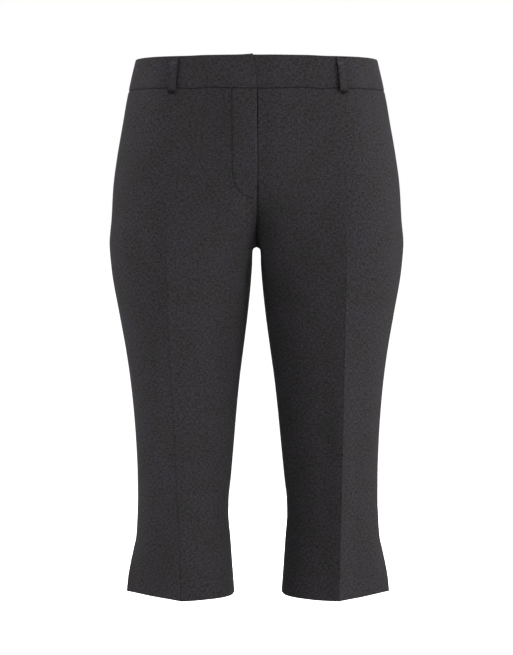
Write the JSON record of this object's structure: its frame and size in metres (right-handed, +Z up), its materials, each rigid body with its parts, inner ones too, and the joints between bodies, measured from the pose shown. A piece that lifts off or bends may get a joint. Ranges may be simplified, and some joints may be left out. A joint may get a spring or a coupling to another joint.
{
  "type": "capri pants",
  "caption": "Capri trousers in charcoal suiting with a plain waistband, belt loops, a covered fly, pressed creases and side vents at the hems, filled out as when worn.",
  "frame": {"origin": "middle of the waist opening, half way up the waistband", "axes": "+Z up, -Y the way the trousers face, +X towards the wearer's left"},
  "size_m": [0.4396, 0.2998, 0.8124],
  "materials": {
    "front_left": "matt suiting",
    "front_right": "matt suiting",
    "back_left": "matt suiting",
    "back_right": "matt suiting",
    "waistband_back": "matt suiting",
    "waistband_left": "matt suiting",
    "waistband_right": "matt suiting",
    "fly_zip": "woven tape",
    "fly_shield": "matt suiting",
    "waist_hook": "nickel plated",
    "waist_bar": "nickel plated",
    "loop_front_right": "matt suiting",
    "loop_front_left": "matt suiting",
    "loop_back_right": "matt suiting",
    "loop_back_centre": "matt suiting",
    "loop_back_left": "matt suiting"
  },
  "bodies": {
    "root": {"front_left": "front_left", "front_right": "front_right", "back_left": "back_left", "back_right": "back_right", "waistband_back": "waistband_back", "waistband_left": "waistband_left", "waistband_right": "waistband_right", "fly_zip": "fly_zip", "fly_shield": "fly_shield", "waist_hook": "waist_hook", "waist_bar": "waist_bar", "loop_front_right": "loop_front_right", "loop_front_left": "loop_front_left", "loop_back_right": "loop_back_right", "loop_back_centre": "loop_back_centre", "loop_back_left": "loop_back_left"}
  },
  "joints": []
}
